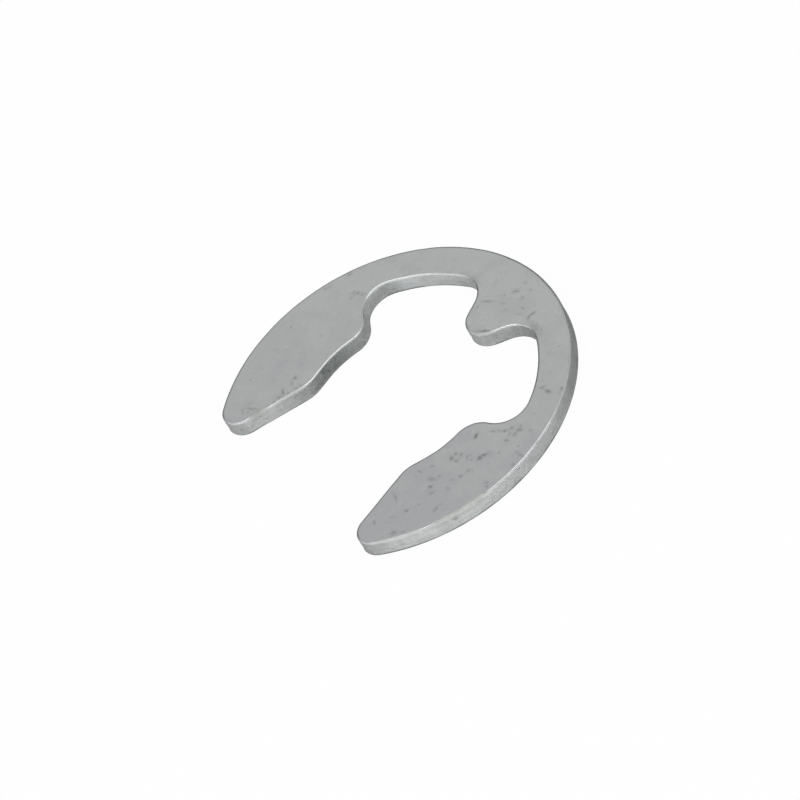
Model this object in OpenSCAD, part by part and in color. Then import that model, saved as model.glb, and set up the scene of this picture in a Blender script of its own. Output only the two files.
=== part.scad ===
// E-type retaining ring: a flat spring steel stamping that is pushed sideways onto a shaft and
// snaps into a groove. Millimetres. The shaft's axis is Z, the ring lies on Z = 0,
// the mouth opens towards -Y and the prong points to the shaft from the back of the ring at +Y.

/* [Strip] */

// Diameter of the outer edge
outer_d = 28;          // [26:0.1:34]
// Thickness of the strip
thickness = 1.5;       // [1:0.05:2.5]
// Rounding of the upper edges, left by the punch and the tumbling
roll_r = 0.25;         // [0.1:0.01:0.35]
// Rounding of the lower edges
break_r = 0.22;        // [0.1:0.01:0.35]

/* [Grip] */

// Diameter of the circle that the two legs and the prong grip in the groove
grip_d = 14.55;        // [13:0.05:16]
// How far each leg's land stands inside that circle, so that the ring snaps on
snap_in = 0.65;        // [0.2:0.01:1.2]
// Radius of the rounded land
land_r = 2.4;          // [1.5:0.05:4]
// Length of the straight between the land and the grip arc
land_run = 1.1;        // [0:0.05:2.5]

/* [Legs] */

// Radius of the leg's tip
tip_r = 1.5;           // [1:0.05:2]
// Angle of the tip below the X axis, seen from the ring's centre
tip_a = 42;            // [38:0.5:46]
// Radius of the knee where the grip arc ends and the recess starts
knee_r = 2.05;         // [1.2:0.05:2.6]
// Angle of the knee above the X axis
knee_a = 7.5;          // [5:0.1:12]
// Angle of the straight shoulder behind the knee above the X axis
shoulder_a = 28.6;     // [24:0.2:38]

/* [Spring arc and prong] */

// Width of the slim spring arc on each side of the prong
arc_w = 2.7;           // [2.2:0.05:3.2]
// Radius of the inside corner between the shoulder and the spring arc
corner_r = 2.1;        // [1.5:0.05:2.6]
// Radius of the fillet at the root of the prong
root_r = 2.15;         // [1.5:0.05:2.6]
// Lean of the prong's straight flanks from the Y axis
flank_a = 27.5;        // [22:0.5:34]
// Radius of the prong's rounded head
head_r = 1.75;         // [1.4:0.05:2]

/* [Hidden] */

steel = [0.65, 0.66, 0.66];

// Largest distance between an arc and its chord
tolerance = 0.005;
// Flats in each rounded edge
edge_steps = 3;

outer_r = outer_d / 2;
grip_r = grip_d / 2;
recess_r = outer_r - arc_w;

// The edge is a belt laid round circles. Each is [x, y, r]: r is positive where the edge bulges
// outwards and negative where it is hollow. Each takes its place from the outer, the grip or the
// recess circle, which all have the ring's centre. It touches that circle, apart from the land.
function polar(r, a) = [r * cos(a), r * sin(a)];
function circle_at(p, r) = [p[0], p[1], r];
function mirrored(c) = [-c[0], c[1], c[2]];

// Centre of the hollow of radius r that leads from a straight tangent into the recess circle. The
// straight touches the bulge c, runs in the direction way, and has the open side on side.
function lead_in(c, way, side, r) =
    let (
        p = [c[0], c[1]] + side * (c[2] + r),
        ahead = p * way,
        limit = recess_r - r
    )
    p + way * (sqrt(ahead * ahead - p * p + limit * limit) - ahead);

outer = [0, 0, outer_r];
tip = circle_at(polar(outer_r - tip_r, -tip_a), tip_r);
grip = [0, 0, -grip_r];
land_x = grip_r - snap_in + land_r;
land_out = pow(grip_r + land_r, 2) + pow(land_run, 2);
land = [land_x, -sqrt(land_out - pow(land_x, 2)), land_r];
knee = circle_at(polar(grip_r + knee_r, knee_a), knee_r);
shoulder_side = polar(1, shoulder_a + 90);
corner = circle_at(lead_in(knee, polar(1, shoulder_a), shoulder_side, corner_r), -corner_r);
recess = [0, 0, -recess_r];
head = [0, grip_r + head_r, head_r];
flank_side = polar(1, -flank_a);
root = circle_at(lead_in(head, polar(1, 90 - flank_a), flank_side, root_r), -root_r);

// Once round with the steel on the left: the back, the -X leg, the prong and the +X leg
inner_side = [land, grip, knee, corner, recess, root];
belt = concat(
    [outer, mirrored(tip)],
    [for (c = inner_side) mirrored(c)],
    [head],
    [for (i = [len(inner_side) - 1 : -1 : 0]) inner_side[i]],
    [tip]
);
count = len(belt);
far_tip = 1;
near_tip = count - 1;

// Heading of the stretch that leaves circle i for the next one
function wrap(a) = a - 360 * floor(a / 360);
function heading(a, b) =
    let (run = [b[0] - a[0], b[1] - a[1]], rise = (b[2] - a[2]) / norm(run))
    atan2(run[1], run[0]) - asin(max(-1, min(1, rise)));
ways = [for (i = [0 : count - 1]) heading(belt[i], belt[(i + 1) % count])];

// The arc on circle i: its first heading, its turn, and the number of chords it is cut into
function way_in(i) = ways[(i + count - 1) % count];
function turn(i) =
    belt[i][2] > 0 ? wrap(ways[i] - way_in(i)) : -wrap(way_in(i) - ways[i]);
function chords(i) = ceil(abs(turn(i)) / (2 * acos(1 - tolerance / abs(belt[i][2]))));
arcs = [for (i = [0 : count - 1]) [way_in(i), turn(i), chords(i)]];

// Point of the outline at step k of circle i, moved d into the steel
function edge_point(i, k, d) =
    let (c = belt[i], a = arcs[i][0] + arcs[i][1] * k / arcs[i][2], r = c[2] - d)
    [c[0] + r * sin(a), c[1] - r * cos(a)];

// Where two circles touch there is no stretch between them, and they share a point
function before(i) = (i + count - 1) % count;
function start(i) =
    norm(edge_point(i, 0, 0) - edge_point(before(i), arcs[before(i)][2], 0)) < 0.001 ? 1 : 0;
starts = [for (i = [0 : count - 1]) start(i)];
function outline(d) = [
    for (i = [0 : count - 1], k = [starts[i] : arcs[i][2]])
        edge_point(i, k, d)
];

// Numbers of the first and the last outline point on circle i
function last_of(i) = arcs[i][2] - starts[i] + (i == 0 ? 0 : last_of(i - 1) + 1);
function first_of(i) = (i == 0 ? 0 : last_of(i - 1) + 1) - starts[i];

// The flat faces are zipped up between the back and the inner side, both followed from the +X tip
// round to the -X tip. bearing is the angle from the mouth, and the side that is behind moves on.
function wrap_index(k) = k < 0 ? k + total : k;
function bearing(p) = wrap(atan2(p[1], p[0]) + 90);
flat = outline(0);
total = last_of(count - 1) + 1;
back = [for (k = [first_of(0) : last_of(0)]) wrap_index(k)];
inside = [for (k = [first_of(near_tip) : -1 : last_of(far_tip)]) k];
zip = [
    for (
        i = 0, j = 0, last = 0;
        i + j <= len(back) + len(inside) - 2;
        last = j,
        back_moves = j == len(inside) - 1
            || (i < len(back) - 1 && bearing(flat[back[i + 1]]) < bearing(flat[inside[j + 1]])),
        i = back_moves ? i + 1 : i,
        j = back_moves ? j : j + 1
    )
        if (i + j > 0)
            j == last ? [back[i - 1], back[i], inside[j]] : [back[i], inside[j], inside[j - 1]]
];
function tip_fan(i) = [for (k = [first_of(i) : last_of(i)]) k];
face = concat(zip, [tip_fan(far_tip), tip_fan(near_tip)]);

// Section of the edge from the lower face to the upper one, as [distance inside the edge, height]
section = concat(
    [for (a = [0 : 90 / edge_steps : 90])
        [break_r * (1 - sin(a)), break_r * (1 - cos(a))]],
    [for (a = [0 : 90 / edge_steps : 90])
        [roll_r * (1 - cos(a)), thickness - roll_r * (1 - sin(a))]]
);

// The plate is lofted through the outlines of its section
module retaining_ring() {
    n = len(flat);
    top = (len(section) - 1) * n;
    points = [for (s = section) for (p = outline(s[0])) [p[0], p[1], s[1]]];
    sides = [
        for (l = [0 : len(section) - 2], k = [0 : n - 1])
            let (a = l * n + k, b = l * n + (k + 1) % n)
            [a, a + n, b + n, b]
    ];
    lower = face;
    upper = [for (f = face) [for (k = [len(f) - 1 : -1 : 0]) top + f[k]]];
    color(steel)
        polyhedron(points, concat(sides, lower, upper), convexity = 6);
}

retaining_ring();
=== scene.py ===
"""E-type retaining ring in bright zinc, as one dressed piece, and a plain studio to see it in.

The ring's outline is a belt laid round circles, as in the CAD source. A flat blank of that
outline is shaped by a Geometry Nodes tree: section, sheared walls and tumbling marks.
Lengths are metres. The shaft's axis is Z, the mouth opens towards -Y.
"""

import math

import bpy
import numpy as np
from bpy.props import FloatProperty, FloatVectorProperty, IntProperty, PointerProperty
from mathutils import Matrix, Vector
from mathutils.geometry import delaunay_2d_cdt
from mathutils.kdtree import KDTree
from mathutils.noise import noise_vector, seed_set


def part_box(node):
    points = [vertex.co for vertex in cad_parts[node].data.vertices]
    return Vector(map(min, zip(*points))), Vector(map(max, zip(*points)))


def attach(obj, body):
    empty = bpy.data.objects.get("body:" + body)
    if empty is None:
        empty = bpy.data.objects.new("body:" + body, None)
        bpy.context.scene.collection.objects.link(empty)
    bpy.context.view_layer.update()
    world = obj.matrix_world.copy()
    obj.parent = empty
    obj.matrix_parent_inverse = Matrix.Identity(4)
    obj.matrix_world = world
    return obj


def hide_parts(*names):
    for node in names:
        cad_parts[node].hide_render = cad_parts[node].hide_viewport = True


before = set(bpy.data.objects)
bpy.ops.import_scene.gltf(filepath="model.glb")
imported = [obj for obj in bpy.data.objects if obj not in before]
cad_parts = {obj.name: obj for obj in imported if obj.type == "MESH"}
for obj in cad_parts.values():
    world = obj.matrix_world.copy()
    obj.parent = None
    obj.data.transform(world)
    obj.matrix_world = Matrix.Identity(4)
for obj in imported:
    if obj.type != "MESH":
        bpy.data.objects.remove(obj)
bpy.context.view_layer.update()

bl_info = {
    "name": "Zinc Retaining Ring",
    "version": (1, 0, 0),
    "blender": (4, 5, 0),
    "location": "3D View > Sidebar > Ring",
    "description": "Builds an E-type retaining ring with its zinc finish, and a pale studio",
    "category": "Object",
}

RING = "retaining_ring"
RING_LOW, RING_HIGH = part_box(RING)

MM = 0.001

# Scuffs and nicks in the upper face, in millimetres: place x, y, half length, half width, turn of
# the long side from the X axis in degrees, depth, and darkness from 0 to 1.
FACE_MARKS = (
    (-1.15, 9.95, 0.42, 0.08, 36, 0.02, 0.45), (-2.22, 11.55, 0.22, 0.09, 148, 0.00, 0.16),
    (-0.10, 11.94, 0.23, 0.15, 48, 0.02, 0.45), (-0.11, 11.68, 0.13, 0.11, 36, 0.01, 0.30),
    (0.86, 12.69, 0.13, 0.12, 36, 0.01, 0.38), (-0.13, 12.86, 0.16, 0.11, 16, 0.01, 0.32),
    (0.86, 11.89, 0.14, 0.14, 76, 0.01, 0.32), (0.88, 11.63, 0.11, 0.10, 36, 0.00, 0.25),
    (0.04, 10.55, 0.18, 0.12, 36, 0.00, 0.20), (0.78, 10.28, 0.16, 0.12, 36, 0.00, 0.22),
    (1.77, 11.28, 0.19, 0.09, 0, 0.01, 0.38), (2.87, 11.05, 0.21, 0.12, 116, 0.02, 0.55),
    (2.86, 11.47, 0.23, 0.12, 83, 0.02, 0.50), (2.03, 10.73, 0.18, 0.10, 36, 0.00, 0.28),
    (4.24, 10.87, 0.12, 0.11, 36, 0.01, 0.40), (4.77, 10.87, 0.11, 0.10, 36, 0.00, 0.28),
    (0.97, 8.00, 0.54, 0.08, 37, 0.01, 0.50), (10.02, 7.72, 0.22, 0.13, 21, 0.03, 0.85),
    (9.31, 7.66, 0.20, 0.11, 61, 0.02, 0.50), (9.60, 7.62, 0.20, 0.07, 16, 0.01, 0.35),
    (10.73, 8.52, 0.11, 0.14, 36, 0.03, 0.80), (10.93, 8.20, 0.10, 0.11, 36, 0.00, 0.30),
    (7.11, 9.95, 0.15, 0.12, 36, 0.00, 0.15), (8.75, 8.94, 0.15, 0.12, 36, 0.00, 0.15),
    (-5.27, 9.92, 0.24, 0.09, 20, 0.01, 0.35), (8.73, 1.71, 0.26, 0.14, 126, 0.03, 0.80),
    (10.30, 3.38, 0.29, 0.11, 48, 0.01, 0.55), (10.55, 3.89, 0.16, 0.12, 36, 0.01, 0.55),
    (11.14, 4.15, 0.21, 0.13, 36, 0.02, 0.65), (11.17, 3.68, 0.17, 0.13, 97, 0.02, 0.60),
    (10.83, 3.46, 0.17, 0.08, 126, 0.01, 0.45), (11.12, 2.92, 0.19, 0.10, 26, 0.02, 0.55),
    (9.54, 2.78, 0.18, 0.09, 26, 0.01, 0.50), (9.89, 3.11, 0.18, 0.09, 36, 0.00, 0.40),
    (11.93, 4.61, 0.17, 0.10, 26, 0.00, 0.35), (10.94, 4.42, 0.17, 0.08, 148, 0.00, 0.40),
    (8.89, -0.71, 0.17, 0.17, 36, 0.02, 0.65), (8.84, -0.27, 0.15, 0.11, 36, 0.01, 0.50),
    (9.27, -0.12, 0.22, 0.09, 152, 0.01, 0.50), (9.45, -0.69, 0.15, 0.10, 17, 0.01, 0.55),
    (9.35, -0.38, 0.14, 0.09, 97, 0.00, 0.35), (9.93, 0.04, 0.22, 0.09, 152, 0.01, 0.40),
    (10.35, 0.13, 0.11, 0.11, 36, 0.01, 0.45), (9.82, 0.33, 0.15, 0.08, 36, 0.00, 0.25),
    (10.70, 0.63, 0.16, 0.19, 76, 0.03, 0.75), (10.79, 1.02, 0.28, 0.13, 64, 0.02, 0.70),
    (10.97, -0.65, 0.18, 0.15, 103, 0.01, 0.33), (11.30, -0.47, 0.16, 0.08, 152, 0.00, 0.28),
    (10.93, -1.33, 0.18, 0.13, 61, 0.01, 0.45), (10.64, -1.91, 0.14, 0.11, 36, 0.00, 0.35),
    (9.22, -2.89, 0.32, 0.17, 31, 0.01, 0.32), (9.53, -2.32, 0.13, 0.11, 36, 0.00, 0.35),
    (9.71, -3.35, 0.16, 0.13, 36, 0.02, 0.65), (11.08, -2.61, 0.16, 0.11, 61, 0.00, 0.17),
    (10.31, -3.63, 0.16, 0.12, 76, 0.01, 0.50), (7.86, -3.05, 0.22, 0.08, 8, 0.01, 0.50),
    (8.27, -2.13, 0.18, 0.10, 36, 0.00, 0.33), (8.04, -3.49, 0.15, 0.11, 36, 0.00, 0.17),
    (8.23, -5.68, 0.36, 0.08, 167, 0.02, 0.50), (10.03, -5.88, 0.15, 0.11, 37, 0.02, 0.55),
    (11.84, -4.38, 0.21, 0.11, 110, 0.01, 0.45), (8.85, -8.10, 0.17, 0.09, 153, 0.01, 0.45),
    (10.95, -7.73, 0.24, 0.17, 17, 0.01, 0.38), (11.47, -7.22, 0.18, 0.14, 76, 0.01, 0.38),
    (9.52, -6.94, 0.21, 0.09, 37, 0.00, 0.17), (13.13, -0.42, 0.12, 0.08, 36, 0.01, 0.50),
    (13.46, -0.62, 0.12, 0.08, 36, 0.01, 0.50), (13.77, -0.99, 0.15, 0.09, 68, 0.01, 0.55),
    (13.43, 1.89, 0.17, 0.09, 17, 0.01, 0.40), (13.21, 2.78, 0.34, 0.08, 4, 0.01, 0.40),
    (12.70, 2.79, 0.21, 0.08, 26, 0.00, 0.23), (-8.03, -3.90, 0.13, 0.15, 61, 0.02, 0.62),
    (-7.81, -4.37, 0.25, 0.08, 156, 0.00, 0.28), (-7.65, -5.33, 0.28, 0.09, 156, 0.01, 0.50),
    (-7.48, -5.79, 0.18, 0.12, 83, 0.01, 0.55), (-7.44, -6.32, 0.16, 0.12, 61, 0.01, 0.55),
    (-7.58, -6.92, 0.22, 0.12, 68, 0.01, 0.42), (-7.22, -5.14, 0.16, 0.11, 36, 0.01, 0.45),
    (-7.10, -4.45, 0.17, 0.12, 68, 0.01, 0.45), (-6.97, -4.01, 0.16, 0.10, 36, 0.00, 0.40),
    (-8.55, -7.84, 0.52, 0.11, 31, 0.02, 0.33), (-8.89, -8.41, 0.27, 0.09, 157, 0.01, 0.33),
    (-9.05, -7.71, 0.42, 0.14, 54, 0.00, 0.17), (-11.61, -3.25, 0.25, 0.14, 48, 0.00, 0.13),
    (-10.99, -5.00, 0.20, 0.12, 36, 0.00, 0.10), (-9.21, -5.10, 0.17, 0.11, 36, 0.00, 0.12),
    (-8.65, -2.76, 0.20, 0.11, 36, 0.00, 0.12), (-10.81, 3.95, 0.46, 0.14, 39, 0.01, 0.33),
    (-10.20, 4.21, 0.24, 0.15, 76, 0.01, 0.28), (-10.65, 3.45, 0.19, 0.16, 104, 0.00, 0.22),
    (-12.71, 4.71, 0.17, 0.13, 68, 0.01, 0.40), (-13.23, 2.70, 0.15, 0.14, 36, 0.01, 0.33),
    (-13.02, 3.04, 0.21, 0.12, 68, 0.00, 0.28), (-9.62, -0.21, 0.15, 0.16, 36, 0.00, 0.22),
    (1.02, 8.05, 0.58, 0.08, 36, 0.01, 0.80),
)

# The same in the walls and edges, with z after y. The last two are painted shade in the corners
# beside the prong's root, with no depth.
WALL_MARKS = (
    (13.46, -3.86, 1.02, 0.20, 0.16, 74, 0.02, 0.60),
    (11.61, -7.83, 0.63, 0.30, 0.20, 56, 0.02, 0.45),
    (11.61, -7.83, 0.96, 0.20, 0.12, 56, 0.01, 0.30),
    (13.69, 2.91, 1.02, 0.35, 0.16, 102, 0.02, 0.50),
    (13.58, 3.39, 0.93, 0.30, 0.14, 104, 0.02, 0.45),
    (13.86, 1.95, 1.14, 0.30, 0.20, 98, 0.02, 0.45),
    (13.92, 1.46, 1.08, 0.20, 0.12, 96, 0.01, 0.35),
    (13.79, 2.43, 0.87, 0.20, 0.14, 100, 0.02, 0.40),
    (-6.82, -4.75, 1.05, 0.42, 0.16, 75, 0.02, 0.50),
    (-7.19, -6.09, 1.23, 0.30, 0.14, 75, 0.01, 0.40),
    (-6.73, -4.30, 0.93, 0.20, 0.16, 81, 0.01, 0.40),
    (-9.67, 5.76, 0.81, 0.35, 0.20, 71, 0.01, 0.35),
    (0.77, 7.45, 0.45, 0.20, 0.14, 26, 0.02, 0.55),
    (13.31, 4.33, 1.38, 0.30, 0.20, 108, 0.01, 0.30),
    (13.74, 2.65, 1.17, 0.30, 0.14, 101, 0.01, 0.35),
    (13.64, 3.14, 0.91, 0.30, 0.14, 103, 0.01, 0.40),
    (13.52, 3.55, 0.60, 0.25, 0.14, 105, 0.01, 0.35),
    (13.72, 2.76, 0.36, 0.15, 0.15, 101, 0.02, 0.50),
    (13.88, 1.79, 0.87, 0.12, 0.20, 97, 0.01, 0.45),
    (13.94, 1.28, 0.32, 0.15, 0.15, 95, 0.02, 0.45),
    (11.15, -8.46, 0.50, 0.20, 0.14, 53, 0.01, 0.35),
    # Painted shade in the two corners beside the prong's root.
    (-4.10, 10.38, 1.35, 0.90, 0.28, 8, 0.00, 0.40),
    (4.10, 10.72, 1.38, 0.80, 0.26, 176, 0.00, 0.38),
)

# How far the outlines of the marks stray and over what distance, how steeply a mark fades, and
# its patches: a base and a share of the noise.
STRAY = 0.06 * MM
STRAY_SIZE = 0.13 * MM
MARK_FADE = 0.8
MARK_PATCHES = (0.8, 0.5)

# Painted shade on the sheared walls: x, y in millimetres and darkness from 0 to 1. It darkens the
# outer wall that faces away from the light, the corners by the prong and the two tips, and the
# legs' inner walls and the recess. Each reaches the reach below, in millimetres, and the rest
# below holds the darkness down away from them.
WALL_SHADE_REACH = 1.3
WALL_SHADE_REST = 0.15
PAINTED_WALL_SHADE = (
    (13.9, 1.6, 0.2), (13.3, 4.3, 0.27), (12.6, 6.1, 0.3), (11.6, 7.8, 0.48), (10.4, 9.4, 0.6),
    (9.0, 10.7, 0.68), (7.4, 11.9, 0.65), (5.7, 12.8, 0.75), (-7.6, -7.6, 0.2),
    (-6.9, -5.0, 0.36), (-6.7, -3.4, 0.66), (-7.0, -1.9, 0.85), (-7.3, -0.3, 0.8),
    (-7.2, 1.2, 0.7), (-7.6, 2.3, 0.45), (-9.1, 3.6, 0.15), (-9.7, 4.8, 0.45),
    (-7.5, 8.4, 0.08), (-4.4, 10.3, 0.3), (-0.5, 7.3, 0.4), (1.7, 8.6, 0.27),
    (2.7, 9.9, 0.38), (3.6, 10.3, 0.75), (-9.4, -9.9, 0.5), (9.2, -9.9, 0.5),
)

# Places where the upper edge is rubbed to a wide dull rounding: x, y and reach in millimetres,
# and how far it went, from 0 to 1. RUB_FADE is how steeply it fades towards its reach.
RUB_FADE = 1.6
RUBS = (
    (-7.67, -7.8, 1.05, 1.0), (13.72, -2.2, 1.8, 1.0), (13.2, -4.1, 1.8, 1.0),
    (11.6, -7.8, 2.6, 0.5), (13.95, 0.2, 1.8, 0.25), (1.2, 7.5, 1.3, 0.55),
    (-7.0, -5.2, 1.6, 0.4),
)

# Mesh of the blank: distance between its places along the edge, in the upper and in the lower
# face, and steps over the lower rounding, the wall and the upper rounding. Rings of places inside
# a face's edge, and the start of the grid inside them, are in steps of the face's own distance.
# A whole ring has far more than LEAST_FACES.
EDGE_STEP = 0.1 * MM
UPPER_STEP = 0.08 * MM
LOWER_STEP = 0.2 * MM
SECTION_STEPS = (5, 9, 7)
RINGS = (1.7, 2.6)
GRID_START = 3.3
LEAST_FACES = 10000

# Zones of the section, each with its fade in and out. The turn runs to 1 over the lower rounding,
# to 2 over the wall and to 3 over the upper rounding.
SHEARED = ((0.8, 1.1), (2.25, 1.95))
MATT = ((0.8, 1.1), (2.5, 2.3))
POLISHED = ((2.35, 2.55), (3.0, 2.9))
# UNDERSIDE is where painted shade darkens the lower rounding, standing for the contact shadow it
# mirrors.
UNDERSIDE = ((0.0, 0.35), (1.12, 0.85))
# CREASE and FOOT are painted shade: dark lines on either side of the upper edge's highlight,
# which also darken the far rims. FOOT_SHARE sets how dark the lower of the two lines is.
CREASE = ((2.72, 2.84), (3.0, 2.88))
FOOT = ((1.95, 2.14), (2.42, 2.29))
FOOT_SHARE = 0.65
WORN_START = (1.5, 2.2)
TORN_FADE = 0.06

# Scattered dents and pits: depth as a share of the radius, and residue. A higher bias makes more
# of them small.
DENT = (0.03, 0.0)
PIT = (0.3, 0.35)
SMALL_BIAS = 2.5

# Noises, in cells per metre, and how much slower the streaks change upwards.
PLAY_CELLS = 420.0
GLINT_CELLS = 650.0
UNDERSIDE_CELLS = 500.0
STREAK_CELLS = 2600.0
TEAR_CELLS = 3200.0
FINE_CELLS = 9000.0
WALL_GRAIN_CELLS = 2600.0
WALL_CLOUD_CELLS = 900.0
FACE_GRAIN_CELLS = 3600.0
STREAK_STRETCH = 0.12

# What the fine grain and the residue and painted shade do to the roughness, and the fine grain's
# bump.
FINE_ROUGHNESS = 0.12
RESIDUE_ROUGHNESS = 0.2
FINE_BUMP = {"Strength": 0.25, "Distance": 0.01 * MM}

# The cast changes twice along this way over the faces, over these stretches.
CAST_WAY = (0.555, -0.832, 0.0)
STRAW_TO_ZINC = (-12.0 * MM, -3.0 * MM)
ZINC_TO_COOL = (0.0, 8.0 * MM)

# Height in the sky over which the light from low down ends, and its fade from the dark side.
SKY_FADE = (0.1, 0.55)
GLOW_FADE = (-0.6, 0.8)

# How far the floor lies below the ring, and the width of the camera's film in millimetres.
FLOOR_GAP = 0.01 * MM
FILM_WIDTH = 36.0


def length(name, description, default, low=0.0, high=1.0):
    """A size that Blender shows in its own units."""
    return FloatProperty(
        name=name, description=description, default=default, min=low, max=high,
        precision=5, unit="LENGTH", subtype="DISTANCE",
    )


def angle(name, description, default):
    """An angle, given here in degrees."""
    return FloatProperty(
        name=name, description=description, default=math.radians(default),
        unit="ROTATION", subtype="ANGLE",
    )


def share(name, description, default, high=1.0):
    """A number from 0 to high."""
    return FloatProperty(name=name, description=description, default=default, min=0.0, max=high)


def colour(name, description, default):
    """A colour in scene linear values."""
    return FloatVectorProperty(
        name=name, description=description, default=default, size=3, min=0.0, max=1.0,
        subtype="COLOR",
    )


class RingOutline(bpy.types.PropertyGroup):
    """Circles that the outline runs round, and the section of the strip."""

    outer_d: length("Outer diameter", "Diameter of the outer edge", RING_HIGH.x - RING_LOW.x)
    thickness: length("Thickness", "Thickness of the strip", RING_HIGH.z - RING_LOW.z)
    roll_r: length("Upper rounding", "Rounding of the upper edges", 0.25 * MM)
    break_r: length("Lower rounding", "Rounding of the lower edges", 0.22 * MM)
    grip_d: length("Grip diameter", "Circle that the legs and the prong grip", 14.55 * MM)
    snap_in: length("Snap", "How far each land stands inside the grip circle", 0.65 * MM)
    land_r: length("Land radius", "Rounding of the land on each leg", 2.4 * MM)
    land_run: length("Land run", "Straight between the land and the grip arc", 1.1 * MM)
    tip_r: length("Tip radius", "Rounding of each leg's tip", 1.5 * MM)
    tip_a: angle("Tip angle", "Place of the tip below the X axis", 42.0)
    knee_r: length("Knee radius", "Rounding between the grip arc and the recess", 2.05 * MM)
    knee_a: angle("Knee angle", "Place of the knee above the X axis", 7.5)
    shoulder_a: angle("Shoulder angle", "Direction of the straight behind the knee", 28.6)
    arc_w: length("Spring arc width", "Width of the slim arc beside the prong", 2.7 * MM)
    corner_r: length("Corner radius", "Inside corner of the recess", 2.1 * MM)
    root_r: length("Root radius", "Fillet at the root of the prong", 2.15 * MM)
    flank_a: angle("Flank lean", "Lean of the prong's flanks from the Y axis", 27.5)
    head_r: length("Head radius", "Rounded head of the prong", 1.75 * MM)


class StampedSteel(bpy.types.PropertyGroup):
    """What the press and the tumbling drum left on the strip."""

    wave: length("Waviness", "Depth of the long waves in the flat faces", 0.012 * MM)
    wave_size: length("Wave size", "Width of one long wave", 3.2 * MM)
    edge_play: share("Edge play", "How much the rounding varies along the edge", 0.14)
    streak: length("Shear streaks", "Depth of the upright streaks in the walls", 0.03 * MM)
    tear: length("Tear", "How far the torn band stands back under the sheared one", 0.05 * MM)
    tear_share: share("Torn share", "Share of the wall's height that is torn", 0.42)
    rub: length("Rubbed rounding", "Rounding where the upper edge is rubbed", 0.34 * MM)
    # The lower edge's darkness is painted shade: the contact shadow that the lower rounding
    # mirrors.
    under: share("Lower edge shade", "Darkness of the lower edge's rounding", 0.85)
    tear_residue: share("Torn residue", "Darkness of the torn band", 0.1)
    # The crease darkness is painted shade beside the upper edge's highlight.
    crease: share("Crease shade", "Darkness where a face starts to round off", 0.2)
    pit_spacing: length("Pit spacing", "Mean distance between small pits", 1.5 * MM)
    pit_small: length("Smallest pit", "Radius of the smallest pits", 0.05 * MM)
    pit_large: length("Largest pit", "Radius of the largest pits", 0.14 * MM)
    dent_spacing: length("Dent spacing", "Mean distance between tumbling dents", 2.0 * MM)
    dent_small: length("Smallest dent", "Radius of the smallest dents", 0.25 * MM)
    dent_large: length("Largest dent", "Radius of the largest dents", 0.7 * MM)
    seed: IntProperty(name="Seed", description="Seed of the scattered marks", default=11)


class ZincFinish(bpy.types.PropertyGroup):
    """The zinc coat."""

    straw: colour("Straw cast", "Coat at the back, slightly warm", (0.514, 0.535, 0.521))
    zinc: colour("Zinc", "Coat in the middle", (0.496, 0.509, 0.51))
    cool: colour("Cool cast", "Coat on the +X leg, slightly blue", (0.471, 0.479, 0.488))
    mottle: length("Mottling", "How far patches stray from the even change of cast", 50.0 * MM)
    patch: length("Patch size", "Size of one patch of cast", 2.2 * MM)
    worn: colour("Worn", "Coat where the upper edge is rubbed", (0.4, 0.41, 0.395))
    # This dark colour paints the residue in pits and scuffs, and also the painted shade on edges
    # and walls.
    residue_and_shade: colour("Residue", "Dark residue in pits and scuffs", (0.112, 0.125, 0.116))
    roughness: share("Roughness", "Roughness of the flat faces", 0.38)
    wall_roughness: share("Wall roughness", "Roughness of the sheared walls", 0.6)
    edge_roughness: share("Edge roughness", "Roughness of the polished upper edge", 0.21)
    face_grain: share("Face grain", "Darkness of the fine mottling in the flat faces", 0.05)
    wall_grain: share("Wall grain", "Darkness of the grain in the walls", 0.13)
    wall_cloud: share("Wall clouds", "Darkness of the wider patches in the walls", 0.12)
    wall_metal: share("Wall metal", "How metallic the matt walls look", 0.5)
    grazing: share("Grazing tint", "Brightness of reflections at grazing angles", 0.3)


class Studio(bpy.types.PropertyGroup):
    """Floor, light and camera."""

    paper: colour("Paper", "Colour of the floor", (0.75, 0.75, 0.75))
    paper_seen: share("Paper seen", "How plain the floor looks to the camera", 0.96)
    paper_mirrored: share("Paper mirrored", "How plain the floor is in reflections", 0.2)
    floor_size: length("Floor size", "Side of the square floor", 3.0, high=100.0)
    sky: share("Sky", "Strength of the soft light from above", 1.05, 10.0)
    glow: share("Low glow", "Strength of the light from low down on the bright side", 4.0, 10.0)
    shade: share("Low shade", "Strength of the light from low down on the dark side", 0.0, 10.0)
    glow_azimuth: angle("Glow azimuth", "Middle of the bright side, from the X axis", -35.0)
    strip_power: share("Strip power", "Watts of the strip lamp above the ring", 0.86, 1000.0)
    strip_width: length("Strip width", "Width of the strip lamp", 0.15, high=10.0)
    strip_length: length("Strip length", "Length of the strip lamp", 0.95, high=10.0)
    strip_height: length("Strip height", "Height of the strip lamp", 0.5, high=10.0)
    strip_reach: length("Strip reach", "How far the strip stands towards the camera", 0.13)
    azimuth: angle("View azimuth", "Camera's place round the ring, 0 looks along +Y", 77.497)
    elevation: angle("View elevation", "Camera's height above the floor", 43.818)
    roll: angle("View roll", "Turn of the camera about its own axis", -31.35)
    distance: length("View distance", "Distance from the camera to the aim", 0.71247, high=10.0)
    lens: FloatProperty(name="Lens", description="Focal length in millimetres", default=437.58)
    aim: FloatVectorProperty(
        name="Aim", description="Point at the middle of the picture", size=3, unit="LENGTH",
        subtype="TRANSLATION", default=(-0.282 * MM, 0.267 * MM, 0.347 * MM), precision=6,
    )


# Outline -------------------------------------------------------------------------------------


def polar(r, a):
    """Point at radius r and angle a."""
    return np.array([r * math.cos(a), r * math.sin(a)])


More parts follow.
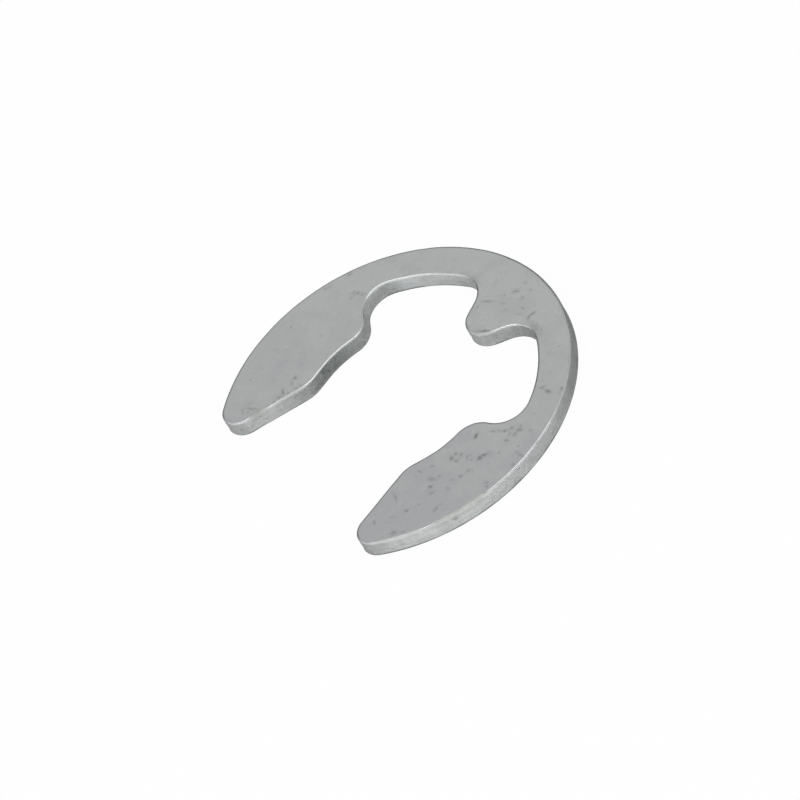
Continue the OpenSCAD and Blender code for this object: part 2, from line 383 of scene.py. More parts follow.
def lead_in(bulge, way, side, r, recess_r):
    """Centre of the hollow of radius r between a tangent of the bulge and the recess circle."""
    p = np.array(bulge[:2]) + side * (bulge[2] + r)
    ahead = p @ way
    limit = recess_r - r
    return p + way * (math.sqrt(ahead * ahead - p @ p + limit * limit) - ahead)


def belt_circles(o):
    """The circles of the outline as (x, y, r), with r below zero where the edge is hollow."""
    outer_r = o.outer_d / 2
    grip_r = o.grip_d / 2
    recess_r = outer_r - o.arc_w
    quarter = math.pi / 2
    tip = (*polar(outer_r - o.tip_r, -o.tip_a), o.tip_r)
    land_x = grip_r - o.snap_in + o.land_r
    land_out = (grip_r + o.land_r) ** 2 + o.land_run ** 2
    land = (land_x, -math.sqrt(land_out - land_x ** 2), o.land_r)
    knee = (*polar(grip_r + o.knee_r, o.knee_a), o.knee_r)
    shoulder = polar(1, o.shoulder_a)
    shoulder_side = polar(1, o.shoulder_a + quarter)
    corner = (*lead_in(knee, shoulder, shoulder_side, o.corner_r, recess_r), -o.corner_r)
    head = (0.0, grip_r + o.head_r, o.head_r)
    flank = polar(1, quarter - o.flank_a)
    root = (*lead_in(head, flank, polar(1, -o.flank_a), o.root_r, recess_r), -o.root_r)
    side = [land, (0.0, 0.0, -grip_r), knee, corner, (0.0, 0.0, -recess_r), root]
    mirrored = [(-c[0], c[1], c[2]) for c in side]
    far_tip = (-tip[0], tip[1], tip[2])
    return [(0.0, 0.0, outer_r), far_tip, *mirrored, head, *side[::-1], tip]


def trace(circles, step):
    """Points and outward normals along the outline, about step apart, steel on the left."""
    def heading(a, b):
        run = np.array(b[:2]) - np.array(a[:2])
        rise = (b[2] - a[2]) / np.hypot(*run)
        return math.atan2(run[1], run[0]) - math.asin(max(-1.0, min(1.0, rise)))

    def right_of(a):
        return np.array([math.sin(a), -math.cos(a)])

    count = len(circles)
    ways = [heading(circles[i], circles[(i + 1) % count]) for i in range(count)]
    points, normals = [], []
    for i, (x, y, r) in enumerate(circles):
        way_in, way_out = ways[i - 1], ways[i]
        turn = (way_out - way_in) % math.tau if r > 0 else -((way_in - way_out) % math.tau)
        steps = max(1, round(abs(r * turn) / step))
        for k in range(steps):
            side = right_of(way_in + turn * k / steps)
            points.append(np.array([x, y]) + r * side)
            normals.append(side)
        side = right_of(way_out)
        start = np.array([x, y]) + r * side
        nx, ny, nr = circles[(i + 1) % count]
        end = np.array([nx, ny]) + nr * side
        gap = np.hypot(*(end - start))
        for k in range(round(gap / step)):
            points.append(start + (end - start) * k / round(gap / step))
            normals.append(side)
    return np.array(points), np.array(normals)


def inside(places, loop):
    """Which places lie inside the closed loop."""
    a, b = loop, np.roll(loop, -1, axis=0)
    found = np.zeros(len(places), bool)
    for (ax, ay), (bx, by) in zip(a, b):
        if ay == by:
            continue
        crosses = (places[:, 1] < ay) != (places[:, 1] < by)
        found ^= crosses & (places[:, 0] < ax + (places[:, 1] - ay) * (bx - ax) / (by - ay))
    return found


def fill(points, normals, inset, spacing, ring_gaps, ring_every):
    """Plan of a flat face inside the outline moved in by inset: places and triangles.

    The face's own edge comes first, one place for each point. Rings inside it follow, with one
    place for every ring_every points, and then an even grid.
    """
    n = len(points)
    edge = points - normals * inset
    rings = [(points - normals * (inset + spacing * gap))[::ring_every] for gap in ring_gaps]
    tree = KDTree(n)
    for i, p in enumerate(points):
        tree.insert((p[0], p[1], 0.0), i)
    tree.balance()
    low, high = points.min(0), points.max(0)
    rows = np.arange(low[1], high[1], spacing * math.sqrt(3) / 2)
    grid = np.array([
        (x + (j % 2) * spacing / 2, y)
        for j, y in enumerate(rows)
        for x in np.arange(low[0], high[0], spacing)
    ])
    grid = grid[inside(grid, points)]
    clear = inset + spacing * GRID_START
    grid = np.array([p for p in grid if tree.find((p[0], p[1], 0.0))[2] > clear])
    places = np.vstack([edge, *rings, grid])
    border = [(i, (i + 1) % n) for i in range(n)]
    coords = [Vector(p / MM) for p in places]
    found, _, faces, sources, _, _ = delaunay_2d_cdt(coords, border, [], 0, 1e-6, True)
    if len(found) != len(places):
        raise RuntimeError(f"the flat face has {len(found)} places for {len(places)}")
    order = [s[0] for s in sources]
    triangles = np.array([[order[i] for i in f] for f in faces])
    a, b, c = (places[triangles[:, k]] for k in range(3))
    triangles = triangles[inside((a + b + c) / 3, edge)]
    a, b, c = (places[triangles[:, k]] for k in range(3))
    p, q = b - a, c - a
    turned_over = p[:, 0] * q[:, 1] - q[:, 0] * p[:, 1] < 0
    triangles[turned_over] = triangles[turned_over][:, ::-1]
    return places, triangles


def rubbed(plan):
    """How far the upper edge is rubbed at each place."""
    rub = np.zeros(len(plan))
    for x, y, reach, gone in RUBS:
        far = np.hypot(plan[:, 0] - x * MM, plan[:, 1] - y * MM) / (reach * MM)
        rub = np.maximum(rub, gone * smooth(RUB_FADE - RUB_FADE * far))
    return rub


def blank_mesh(o):
    """The flat blank. Each place knows its turn in the section and the way out of the steel."""
    points, normals = trace(belt_circles(o), EDGE_STEP)
    n = len(points)
    lower_steps, wall_steps, upper_steps = SECTION_STEPS
    turns = np.concatenate([
        np.linspace(0, 1, lower_steps, endpoint=False),
        np.linspace(1, 2, wall_steps, endpoint=False),
        np.linspace(2, 3, upper_steps + 1),
    ])
    upper, upper_faces = fill(points, normals, o.roll_r, UPPER_STEP, RINGS, 1)
    lower, lower_faces = fill(points, normals, o.break_r, LOWER_STEP, RINGS[:1], 2)
    rows = len(turns)
    rim = n * rows
    plan = np.vstack([np.tile(points, (rows, 1)), upper[n:], lower[n:]])
    turn = np.concatenate([
        np.repeat(turns, n), np.full(len(upper) - n, 3.0), np.zeros(len(lower) - n)])
    out = np.zeros((len(plan), 3))
    out[:rim, :2] = np.tile(normals, (rows, 1))
    faces = []
    for row in range(rows - 1):
        for k in range(n):
            a, b = row * n + k, row * n + (k + 1) % n
            faces.append((a, b, b + n, a + n))
    top_row = (rows - 1) * n
    upper_at = np.concatenate([top_row + np.arange(n), rim + np.arange(len(upper) - n)])
    lower_at = np.concatenate([np.arange(n), rim + len(upper) - n + np.arange(len(lower) - n)])
    faces += [tuple(f) for f in upper_at[upper_faces].tolist()]
    faces += [tuple(f) for f in lower_at[lower_faces][:, ::-1].tolist()]
    mesh = bpy.data.meshes.new("ring blank")
    mesh.from_pydata(np.c_[plan, np.zeros(len(plan))].tolist(), [], faces)
    for name, kind, field, values in (
            ("turn", "FLOAT", "value", turn),
            ("out", "FLOAT_VECTOR", "vector", out),
            ("rub", "FLOAT", "value", rubbed(plan))):
        kept = mesh.attributes.new(name, kind, "POINT")
        kept.data.foreach_set(field, values.astype("f").ravel())
    mesh.update()
    return mesh


def smooth(x):
    """0 below 0, 1 above 1, and an even slope between."""
    x = np.clip(x, 0.0, 1.0)
    return x * x * (3 - 2 * x)


def press_marks(mesh, seed):
    """Presses the ring's own marks into its surface, darkens them, and paints shade on the walls.
    """
    n = len(mesh.vertices)
    places, normals = np.zeros(n * 3), np.zeros(n * 3)
    mesh.vertices.foreach_get("co", places)
    mesh.vertex_normals.foreach_get("vector", normals)
    places, normals = places.reshape(-1, 3), normals.reshape(-1, 3)
    dark, wall, sink = np.zeros(n), np.zeros(n), np.zeros(n)
    mesh.attributes["residue_and_shade"].data.foreach_get("value", dark)
    mesh.attributes["wall"].data.foreach_get("value", wall)
    seed_set(seed)
    drift = np.array([noise_vector(p) for p in places / STRAY_SIZE])
    warped = places + STRAY * drift
    base, play = MARK_PATCHES
    broken = base + play * drift[:, 2]
    face_z = (RING_HIGH.z - RING_LOW.z) / MM
    face_marks = [(x, y, face_z, *rest) for x, y, *rest in FACE_MARKS]
    for x, y, z, long, wide, turn, depth, darkness in (*face_marks, *WALL_MARKS):
        away = warped / MM - (x, y, z)
        along = away @ (math.cos(math.radians(turn)), math.sin(math.radians(turn)), 0.0)
        across = (away * away).sum(1) - along * along
        press = np.exp(-MARK_FADE * (along * along / long ** 2 + across / wide ** 2))
        dark = np.maximum(dark, press * darkness * broken)
        sink = np.maximum(sink, press * depth * MM)
    # Painted shade on the walls: a weighted mean of the listed darknesses, only where the wall
    # is.
    near, wall_shade = np.full(n, WALL_SHADE_REST), np.zeros(n)
    for x, y, darkness in PAINTED_WALL_SHADE:
        far = (places[:, 0] / MM - x) ** 2 + (places[:, 1] / MM - y) ** 2
        weight = np.exp(-far / WALL_SHADE_REACH ** 2)
        near += weight
        wall_shade += weight * darkness
    dark = np.maximum(dark, wall * wall_shade / near)
    places -= normals * sink[:, None]
    mesh.vertices.foreach_set("co", places.ravel())
    mesh.attributes["residue_and_shade"].data.foreach_set("value", dark)
    mesh.update()


# Node trees ----------------------------------------------------------------------------------


class Bench:
    """Short calls that add a node to a tree and give its output socket."""

    def __init__(self, tree):
        self.tree = tree
        self.column = 0

    def node(self, kind, settings=None, inputs=None):
        """A node with its settings, and its inputs by name or number."""
        made = self.tree.nodes.new(kind)
        self.column += 1
        made.location = (180 * (self.column % 14), -220 * (self.column // 14))
        for name, value in (settings or {}).items():
            setattr(made, name, value)
        for name, value in (inputs or {}).items():
            self.feed(made.inputs[name], value)
        return made

    def feed(self, socket, value):
        """Links a socket, or sets a plain value."""
        if isinstance(value, bpy.types.NodeSocket):
            self.tree.links.new(value, socket)
        else:
            socket.default_value = value

    def math(self, operation, *values, clamp=False):
        """A Math node's result."""
        made = self.node("ShaderNodeMath", {"operation": operation, "use_clamp": clamp})
        for socket, value in zip(made.inputs, values):
            self.feed(socket, value)
        return made.outputs[0]

    def product(self, value, *others):
        """All the values multiplied."""
        for other in others:
            value = self.math("MULTIPLY", value, other)
        return value

    def rest(self, value):
        """1 less the value."""
        return self.math("SUBTRACT", 1.0, value)

    def vector(self, operation, *values):
        """A Vector Math node's result."""
        made = self.node("ShaderNodeVectorMath", {"operation": operation})
        for socket, value in zip(made.inputs, values):
            self.feed(socket, value)
        return made.outputs["Value" if operation in ("DOT_PRODUCT", "LENGTH") else "Vector"]

    def scaled(self, vector, factor):
        """The vector times a number."""
        made = self.node("ShaderNodeVectorMath", {"operation": "SCALE"})
        self.feed(made.inputs[0], vector)
        self.feed(made.inputs["Scale"], factor)
        return made.outputs["Vector"]

    def blend(self, factor, first, second):
        """first where factor is 0, second where it is 1, both numbers."""
        made = self.node("ShaderNodeMix", {"data_type": "FLOAT"})
        for number, value in ((0, factor), (2, first), (3, second)):
            self.feed(made.inputs[number], value)
        return made.outputs[0]

    def up(self, height):
        """A vector of that height."""
        return self.node("ShaderNodeCombineXYZ", inputs={"Z": height}).outputs[0]

    def band(self, value, low, high, start=0.0, end=1.0):
        """value mapped smoothly from low..high to start..end."""
        made = self.node("ShaderNodeMapRange", {"interpolation_type": "SMOOTHSTEP"})
        for name, number in (("Value", value), ("From Min", low), ("From Max", high),
                             ("To Min", start), ("To Max", end)):
            self.feed(made.inputs[name], number)
        return made.outputs[0]

    def noise(self, vector, scale, detail=2.0, roughness=0.5):
        """Noise with scale cells per metre."""
        made = self.node(
            "ShaderNodeTexNoise", {"noise_dimensions": "3D"},
            {"Vector": vector, "Scale": scale, "Detail": detail, "Roughness": roughness})
        return made.outputs["Fac"]

    def position(self):
        """Each point's own place."""
        return self.node("GeometryNodeInputPosition").outputs[0]

    def attribute(self, name, kind="FLOAT"):
        """A value kept at each point, in a geometry tree."""
        made = self.node(
            "GeometryNodeInputNamedAttribute", {"data_type": kind}, {"Name": name})
        return made.outputs["Attribute"]

    def painted(self, name):
        """A value kept at each point, in a material."""
        return self.node("ShaderNodeAttribute", {"attribute_name": name}).outputs["Fac"]

    def keep(self, geometry, name, value):
        """Stores a number at each point under that name."""
        made = self.node(
            "GeometryNodeStoreNamedAttribute", {"data_type": "FLOAT", "domain": "POINT"},
            {"Geometry": geometry, "Name": name, "Value": value})
        return made.outputs[0]

    def shift(self, geometry, offset):
        """The geometry with its points moved by offset."""
        made = self.node(
            "GeometryNodeSetPosition", inputs={"Geometry": geometry, "Offset": offset})
        return made.outputs[0]


def new_tree(name, numbers, **others):
    """A geometry tree with a mesh in and out, and number inputs and others between."""
    tree = bpy.data.node_groups.new(name, "GeometryNodeTree")
    tree.interface.new_socket("Geometry", in_out="INPUT", socket_type="NodeSocketGeometry")
    for label, kind in {**dict.fromkeys(numbers, "Float"), **others}.items():
        tree.interface.new_socket(label, in_out="INPUT", socket_type=f"NodeSocket{kind}")
    tree.interface.new_socket("Geometry", in_out="OUTPUT", socket_type="NodeSocketGeometry")
    bench = Bench(tree)
    return tree, bench, bench.node("NodeGroupInput").outputs


def pock_tree():
    """Scatters round marks over the mesh and presses each a little into it."""
    numbers = ("Spacing", "Smallest", "Largest", "Depth Share", "Residue")
    tree, b, given = new_tree("Tumbling marks", numbers, Seed="Int")
    area = b.math("MULTIPLY", given["Spacing"], given["Spacing"])
    density = b.math("DIVIDE", 1.0, area)
    spots = b.node("GeometryNodeDistributePointsOnFaces", {"distribute_method": "RANDOM"},
                   {"Mesh": given["Geometry"], "Density": density, "Seed": given["Seed"]})
    spots = spots.outputs["Points"]
    place = b.position()
    nearest = b.node("GeometryNodeSampleNearest", {"domain": "POINT"},
                     {"Geometry": spots, "Sample Position": place}).outputs[0]
    centre = b.node("GeometryNodeSampleIndex", {"data_type": "FLOAT_VECTOR", "domain": "POINT"},
                    {"Geometry": spots, "Value": place, "Index": nearest}).outputs[0]
    dice = b.node("FunctionNodeRandomValue", {"data_type": "FLOAT"},
                  {"ID": nearest, "Seed": given["Seed"]}).outputs[1]
    size = b.math("MULTIPLY_ADD", b.math("POWER", dice, SMALL_BIAS),
                  b.math("SUBTRACT", given["Largest"], given["Smallest"]), given["Smallest"])
    gap = b.vector("LENGTH", b.vector("SUBTRACT", place, centre))
    press = b.band(b.math("DIVIDE", gap, size), 1.0, 0.0)
    depth = b.product(size, given["Depth Share"], press)
    normal = b.node("GeometryNodeInputNormal").outputs[0]
    moved = b.shift(given["Geometry"], b.scaled(normal, b.math("MULTIPLY", depth, -1.0)))
    dark = b.math("MULTIPLY", press, given["Residue"])
    stained = b.keep(moved, "residue_and_shade", b.math("MAXIMUM", b.attribute("residue_and_shade"), dark))
    b.node("NodeGroupOutput", inputs={"Geometry": stained})
    return tree


def zone(b, turn, fades):
    """1 in one zone of the section, with a soft start and end, and 0 outside it."""
    start, end = fades
    return b.math("MULTIPLY", b.band(turn, *start), b.band(turn, *end))


def patches(b, cells, low, high):
    """Soft patches from low to high."""
    return b.band(b.noise(b.position(), cells, 2.0), 0.35, 0.6, low, high)


def folded(b, given, turn, out, rub, is_face):
    """Offset that folds the rim up into the strip's section and lifts the upper face."""
    quarter = math.pi / 2
    play = b.math("SUBTRACT", b.noise(b.position(), PLAY_CELLS, 3.0), 0.5)
    play = b.math("MULTIPLY_ADD", play, b.math("MULTIPLY", given["Edge Play"], 4.0), 1.0)
    upper_r = b.blend(rub, b.math("MULTIPLY", given["Upper Rounding"], play), given["Rubbed"])
    lower_r = given["Lower Rounding"]
    low = b.math("MULTIPLY", b.math("ADD", turn, 0.0, clamp=True), quarter)
    wall = b.math("SUBTRACT", turn, 1.0, clamp=True)
    high = b.math("MULTIPLY", b.math("SUBTRACT", turn, 2.0, clamp=True), quarter)
    inset = b.math("MULTIPLY", lower_r, b.rest(b.math("SINE", low)))
    inset = b.math("MULTIPLY_ADD", upper_r, b.rest(b.math("COSINE", high)), inset)
    straight = b.math("SUBTRACT", given["Thickness"], b.math("ADD", lower_r, upper_r))
    height = b.math("MULTIPLY", lower_r, b.rest(b.math("COSINE", low)))
    height = b.math("MULTIPLY_ADD", wall, straight, height)
    height = b.math("MULTIPLY_ADD", upper_r, b.math("SINE", high), height)
    face_height = b.math("MULTIPLY", b.math("GREATER_THAN", turn, 1.5), given["Thickness"])
    height = b.blend(is_face, height, face_height)
    return b.vector("SUBTRACT", b.up(height), b.scaled(out, inset))


def sheared(b, given, turn):
    """How far the walls stand back by their streaks and the torn band, and that band."""
    walls = zone(b, turn, SHEARED)
    wall = b.math("SUBTRACT", turn, 1.0, clamp=True)
    fade = (b.math("ADD", given["Torn Share"], TORN_FADE),
            b.math("SUBTRACT", given["Torn Share"], TORN_FADE))
    torn = b.math("MULTIPLY", b.band(wall, *fade), walls)
    place = b.position()
    upright = b.vector("MULTIPLY", place, (1.0, 1.0, STREAK_STRETCH))
    streaks = b.noise(upright, STREAK_CELLS, 3.0, 0.6)
    grains = b.noise(place, TEAR_CELLS, 3.0, 0.65)
    back = b.product(streaks, given["Streak"], walls)
    back = b.math("MULTIPLY_ADD", b.math("MULTIPLY", grains, given["Tear"]), torn, back)
    return back, torn


def edge_residue_and_shade(b, given, turn, torn, unrubbed):
    """Painted shade on the lower edge and in lines on both sides of the upper edge's highlight,
    and the darkness of the torn band.
    """
    # Painted shade: the lower rounding is darkened in patches like the contact shadow it mirrors.
    under = b.product(zone(b, turn, UNDERSIDE), patches(b, UNDERSIDE_CELLS, 0.35, 1.15),
                      given["Lower Edge Shade"])
    # Painted shade: dark lines just below and just above the upper edge's highlight.
    foot = b.math("MULTIPLY", zone(b, turn, FOOT), FOOT_SHARE)
    crease = b.product(b.math("MAXIMUM", zone(b, turn, CREASE), foot), unrubbed,
                       given["Crease Shade"])
    under = b.math("MAXIMUM", under, b.math("MULTIPLY", torn, given["Torn Residue"]))
    return b.math("MAXIMUM", under, crease)


def ring_tree(pocks):
    """Turns the flat blank into the stamped strip: section, sheared walls, waves and marks."""
    numbers = (
        "Thickness", "Upper Rounding", "Lower Rounding", "Edge Play", "Wave", "Wave Size",
        "Streak", "Tear", "Torn Share", "Rubbed", "Lower Edge Shade", "Torn Residue",
        "Crease Shade", "Dent Spacing", "Smallest Dent", "Largest Dent", "Pit Spacing",
        "Smallest Pit", "Largest Pit",
    )
    tree, b, given = new_tree("Stamped ring", numbers, Seed="Int", Finish="Material")
    turn = b.attribute("turn")
    out = b.attribute("out", "FLOAT_VECTOR")
    rub = b.attribute("rub")
    is_face = b.math("COMPARE", b.vector("LENGTH", out), 0.0, 0.5)
    ring = b.shift(given["Geometry"], folded(b, given, turn, out, rub, is_face))
    back, torn = sheared(b, given, turn)
    ring = b.shift(ring, b.scaled(out, b.math("MULTIPLY", back, -1.0)))

    unrubbed = b.rest(rub)
    worn = b.product(rub, b.band(turn, *WORN_START), b.rest(is_face))
    matt = b.math("MAXIMUM", zone(b, turn, MATT), worn)
    polished = b.product(zone(b, turn, POLISHED), unrubbed, patches(b, GLINT_CELLS, 0.45, 1.0))
    residue_and_shade = edge_residue_and_shade(b, given, turn, torn, unrubbed)
    for name, value in (
            ("wall", matt), ("worn", worn), ("edge", polished), ("residue_and_shade", residue_and_shade)):
        ring = b.keep(ring, name, value)

    normal = b.node("GeometryNodeInputNormal").outputs[0]
    up = b.node("ShaderNodeSeparateXYZ", inputs={0: normal}).outputs[2]
    waves = b.noise(b.position(), b.math("DIVIDE", 1.0, given["Wave Size"]), 1.0)
    ring = b.shift(ring, b.up(b.product(waves, given["Wave"], up, -1.0)))

    for kind, depth, darkening, seed_step in (("Dent", *DENT, 0.0), ("Pit", *PIT, 1.0)):
        marked = b.node("GeometryNodeGroup", {"node_tree": pocks}, {
            "Geometry": ring, "Spacing": given[f"{kind} Spacing"],
            "Smallest": given[f"Smallest {kind}"], "Largest": given[f"Largest {kind}"],
            "Depth Share": depth, "Residue": darkening,
            "Seed": b.math("ADD", given["Seed"], seed_step)})
        ring = marked.outputs[0]

    ring = b.node("GeometryNodeSetShadeSmooth", inputs={"Geometry": ring}).outputs[0]
    ring = b.node("GeometryNodeRealizeInstances", inputs={"Geometry": ring}).outputs[0]
    ring = b.node("GeometryNodeSetMaterial",
                  inputs={"Geometry": ring, "Material": given["Finish"]}).outputs[0]
    b.node("NodeGroupOutput", inputs={"Geometry": ring})
    return tree


def set_inputs(modifier, values):
    """Gives a Geometry Nodes modifier its inputs, found by name and set by identifier."""
    for item in modifier.node_group.interface.items_tree:
        if item.in_out == "INPUT" and item.name in values:
            modifier[item.identifier] = values[item.name]


# Materials -----------------------------------------------------------------------------------


def new_material(name):
    """An empty node material and its bench."""
    material = bpy.data.materials.new(name)
    material.use_nodes = True
    material.node_tree.nodes.clear()
    return material, Bench(material.node_tree)


def mixed(b, factor, first, second):
    """first where factor is 0, second where it is 1, both colours."""
    made = b.node("ShaderNodeMix", {"data_type": "RGBA"})
    for number, value in ((0, factor), (6, first), (7, second)):
        b.feed(made.inputs[number], value)
    return made.outputs[2]


def zinc_material(z):
    """Bright zinc: satin, warm at the back, cool on the +X leg, dark in the pits and scuffs, with
    painted shade on the edges and walls.
    """
    material, b = new_material("bright_zinc")
    place = b.node("ShaderNodeTexCoord").outputs["Object"]
    residue_and_shade, wall, worn, edge = map(b.painted, ("residue_and_shade", "wall", "worn", "edge"))
    straw, zinc, cool, rubbed_coat, dark = (
        (*c, 1.0) for c in (z.straw, z.zinc, z.cool, z.worn, z.residue_and_shade))
    strays = b.math("SUBTRACT", b.noise(place, 1.0 / z.patch, 3.0), 0.5)
    along = b.math("MULTIPLY_ADD", strays, z.mottle, b.vector("DOT_PRODUCT", place, CAST_WAY))
    coat = mixed(b, b.band(along, *STRAW_TO_ZINC), straw, zinc)
    coat = mixed(b, b.band(along, *ZINC_TO_COOL), coat, cool)
    coat = mixed(b, wall, coat, zinc)
    coat = mixed(b, worn, coat, rubbed_coat)

    fine = b.noise(place, FINE_CELLS, 4.0, 0.6)
    # The residue attribute carries both real residue and painted shade; both darken the coat
    # alike.
    darkening = b.math("MULTIPLY", residue_and_shade, b.math("MULTIPLY_ADD", fine, 0.8, 0.6))
    wall_grain = b.math(
        "ADD", b.band(b.noise(place, WALL_GRAIN_CELLS, 3.0, 0.6), 0.4, 0.75, 0.0, z.wall_grain),
        b.band(b.noise(place, WALL_CLOUD_CELLS, 2.0), 0.4, 0.7, 0.0, z.wall_cloud))
    darkening = b.math("MULTIPLY_ADD", wall, wall_grain, darkening)
    face_grain = b.band(
        b.noise(place, FACE_GRAIN_CELLS, 4.0, 0.7), 0.35, 0.65, 0.0, z.face_grain)
    darkening = b.math("MULTIPLY_ADD", b.rest(wall), face_grain, darkening, clamp=True)
    coat = mixed(b, darkening, coat, dark)

    rough = b.math("MULTIPLY_ADD", b.math("SUBTRACT", fine, 0.5), FINE_ROUGHNESS, z.roughness)
    rough = b.math("MULTIPLY_ADD", wall, z.wall_roughness - z.roughness, rough)
    rough = b.math("MULTIPLY_ADD", edge, z.edge_roughness - z.roughness, rough)
    rough = b.math("MULTIPLY_ADD", residue_and_shade, RESIDUE_ROUGHNESS, rough)
    bump = b.node("ShaderNodeBump", inputs={**FINE_BUMP, "Height": fine})
    metal = b.math("MULTIPLY_ADD", wall, z.wall_metal - 1.0, 1.0)
    shader = b.node("ShaderNodeBsdfPrincipled", inputs={
        "Base Color": coat, "Metallic": metal, "Roughness": rough,
        "Specular Tint": (z.grazing, z.grazing, z.grazing, 1.0), "Normal": bump.outputs[0]})
    b.node("ShaderNodeOutputMaterial", inputs={"Surface": shader.outputs[0]})
    return material


def paper_material(s):
    """White paper: plain to the camera, lit and shaded for everything else."""
    material, b = new_material("studio_paper")
    matt = b.node("ShaderNodeBsdfDiffuse", inputs={"Color": (*s.paper, 1.0)}).outputs[0]
    white = b.node("ShaderNodeEmission", inputs={"Strength": 1.0}).outputs[0]
    rays = b.node("ShaderNodeLightPath").outputs
    plain = b.math("MULTIPLY", rays["Is Camera Ray"], s.paper_seen)
    plain = b.math("MULTIPLY_ADD", rays["Is Glossy Ray"], s.paper_mirrored, plain, clamp=True)
    both = b.node("ShaderNodeMixShader", inputs={0: plain, 1: matt, 2: white})
    b.node("ShaderNodeOutputMaterial", inputs={"Surface": both.outputs[0]})
    return material


# Operators -----------------------------------------------------------------------------------


class RING_OT_stage(bpy.types.Operator):
    """Make the pale floor, the soft lamps, the even sky and the camera"""

    bl_idname = "zinc_ring.stage"
    bl_label = "Build Studio"

    def execute(self, context):
        s = context.scene.zinc_ring_studio
        half = s.floor_size / 2
        mesh = bpy.data.meshes.new("floor")
        corners = [(-half, -half), (half, -half), (half, half), (-half, half)]
        mesh.from_pydata([(x, y, -FLOOR_GAP) for x, y in corners], [], [(0, 1, 2, 3)])
        mesh.materials.append(paper_material(s))
        floor = bpy.data.objects.new("floor", mesh)
        context.scene.collection.objects.link(floor)
        self.add_sky(context.scene, s)
        self.add_strip(context.scene, s)
        self.add_camera(context.scene, s)
        return {"FINISHED"}

    def add_sky(self, scene, s):
        """A soft sky with a glow from low down on one side, white to the camera."""
        world = bpy.data.worlds.new("studio")
        world.use_nodes = True
        world.node_tree.nodes.clear()
        b = Bench(world.node_tree)
        seen = b.node("ShaderNodeLightPath").outputs["Is Camera Ray"]
        way = b.node("ShaderNodeTexCoord").outputs["Generated"]
        rise = b.node("ShaderNodeSeparateXYZ", inputs={0: way}).outputs[2]
        bright_side = (math.cos(s.glow_azimuth), math.sin(s.glow_azimuth), 0.0)
        facing = b.vector("DOT_PRODUCT", way, bright_side)
        low = b.band(facing, *GLOW_FADE, s.shade, s.glow)
        light = b.blend(b.band(rise, *SKY_FADE), low, s.sky)
        strength = b.blend(seen, light, 1.0)
        sky = b.node("ShaderNodeBackground", inputs={"Strength": strength})
        b.node("ShaderNodeOutputWorld", inputs={"Surface": sky.outputs[0]})
        scene.world = world

    def add_strip(self, scene, s):
        """A strip lamp above the ring, a little towards the camera."""
        lamp = bpy.data.lights.new("strip", "AREA")
        lamp.shape = "RECTANGLE"
        lamp.energy = s.strip_power
        lamp.size = s.strip_width
        lamp.size_y = s.strip_length
        made = bpy.data.objects.new("strip", lamp)
        made.location = (math.sin(s.azimuth) * s.strip_reach,
                         -math.cos(s.azimuth) * s.strip_reach, s.strip_height)
        made.rotation_euler = (0.0, 0.0, s.azimuth - math.pi / 2)
        scene.collection.objects.link(made)

    def add_camera(self, scene, s):
        """The camera, as the photo was taken."""
        a, e = s.azimuth, s.elevation
        back = Vector((math.sin(a) * math.cos(e), -math.cos(a) * math.cos(e), math.sin(e)))
        right = Vector((math.cos(a), math.sin(a), 0.0))
        up = back.cross(right)
        turned = Matrix((right, up, back)).transposed() @ Matrix.Rotation(s.roll, 3, "Z")
        lens = bpy.data.cameras.new("camera")
        lens.sensor_width = FILM_WIDTH
        lens.lens = s.lens
        lens.clip_start = 0.01
        lens.clip_end = 100.0
        camera = bpy.data.objects.new("camera", lens)
        camera.matrix_world = Matrix.Translation(
            Vector(s.aim) + back * s.distance) @ turned.to_4x4()
        scene.collection.objects.link(camera)
        scene.camera = camera


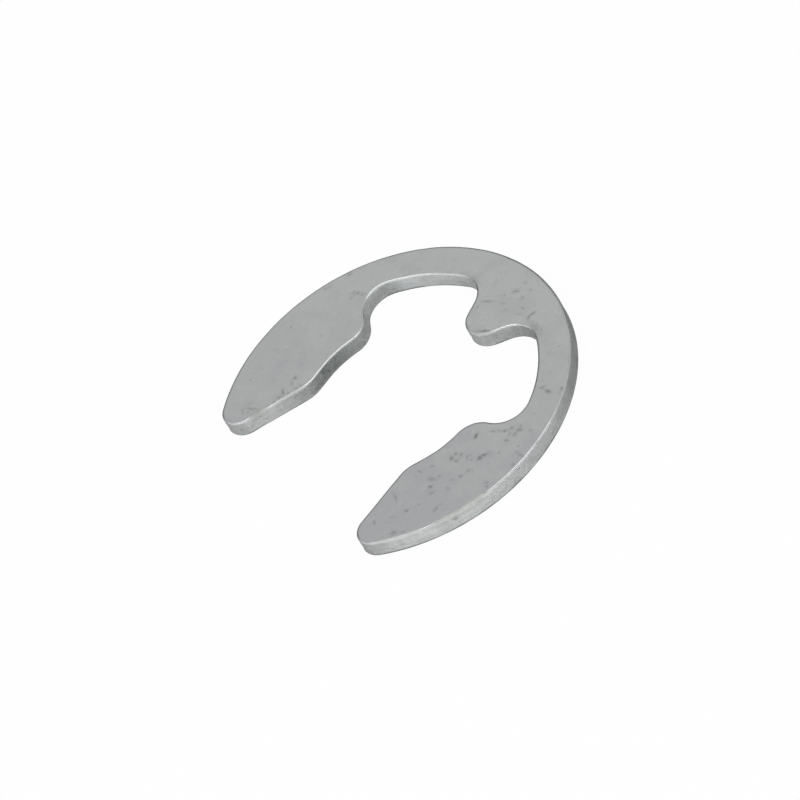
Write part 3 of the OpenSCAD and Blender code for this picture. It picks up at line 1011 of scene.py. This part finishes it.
class RING_OT_ring(bpy.types.Operator):
    """Make the stamped ring with its zinc finish"""

    bl_idname = "zinc_ring.ring"
    bl_label = "Build Ring"

    def execute(self, context):
        scene = context.scene
        o, m, z = scene.zinc_ring_outline, scene.zinc_ring_steel, scene.zinc_ring_finish
        blank = bpy.data.objects.new("ring_blank", blank_mesh(o))
        scene.collection.objects.link(blank)
        shaping = blank.modifiers.new("Stamped ring", "NODES")
        shaping.node_group = ring_tree(pock_tree())
        finish = zinc_material(z)
        set_inputs(shaping, {
            "Thickness": o.thickness, "Upper Rounding": o.roll_r, "Lower Rounding": o.break_r,
            "Edge Play": m.edge_play, "Wave": m.wave, "Wave Size": m.wave_size,
            "Streak": m.streak, "Tear": m.tear, "Torn Share": m.tear_share, "Rubbed": m.rub,
            "Lower Edge Shade": m.under, "Torn Residue": m.tear_residue,
            "Crease Shade": m.crease, "Dent Spacing": m.dent_spacing,
            "Smallest Dent": m.dent_small, "Largest Dent": m.dent_large,
            "Pit Spacing": m.pit_spacing, "Smallest Pit": m.pit_small,
            "Largest Pit": m.pit_large, "Seed": m.seed, "Finish": finish,
        })
        context.view_layer.update()
        dressed = blank.evaluated_get(context.evaluated_depsgraph_get())
        mesh = bpy.data.meshes.new_from_object(dressed)
        mesh.name = "stamped_ring"
        bpy.data.objects.remove(blank)
        press_marks(mesh, m.seed)
        if len(mesh.polygons) < LEAST_FACES:
            raise RuntimeError("the stamped ring came out empty")
        ring = bpy.data.objects.new("stamped_ring", mesh)
        scene.collection.objects.link(ring)
        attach(ring, "root")
        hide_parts(RING)
        return {"FINISHED"}


class RING_PT_sidebar(bpy.types.Panel):
    """Sizes, finish and studio of the ring"""

    bl_idname = "RING_PT_sidebar"
    bl_label = "Zinc Retaining Ring"
    bl_space_type = "VIEW_3D"
    bl_region_type = "UI"
    bl_category = "Ring"

    def draw(self, context):
        layout = self.layout
        layout.operator(RING_OT_stage.bl_idname)
        layout.operator(RING_OT_ring.bl_idname)
        for name, (group, title) in GROUPS.items():
            box = layout.box()
            box.label(text=title)
            values = getattr(context.scene, name)
            for field in group.__annotations__:
                box.prop(values, field)


GROUPS = {
    "zinc_ring_outline": (RingOutline, "Outline"),
    "zinc_ring_steel": (StampedSteel, "Stamped steel"),
    "zinc_ring_finish": (ZincFinish, "Zinc"),
    "zinc_ring_studio": (Studio, "Studio"),
}
CLASSES = (RingOutline, StampedSteel, ZincFinish, Studio, RING_OT_stage, RING_OT_ring,
           RING_PT_sidebar)


def register():
    for made in CLASSES:
        bpy.utils.register_class(made)
    for name, (group, _) in GROUPS.items():
        setattr(bpy.types.Scene, name, PointerProperty(type=group))


def unregister():
    for name in GROUPS:
        delattr(bpy.types.Scene, name)
    for made in reversed(CLASSES):
        bpy.utils.unregister_class(made)


def main():
    register()
    scene = bpy.context.scene
    scene.view_settings.view_transform = "Standard"
    bpy.ops.zinc_ring.stage()
    bpy.ops.zinc_ring.ring()


if __name__ == "__main__":
    main()
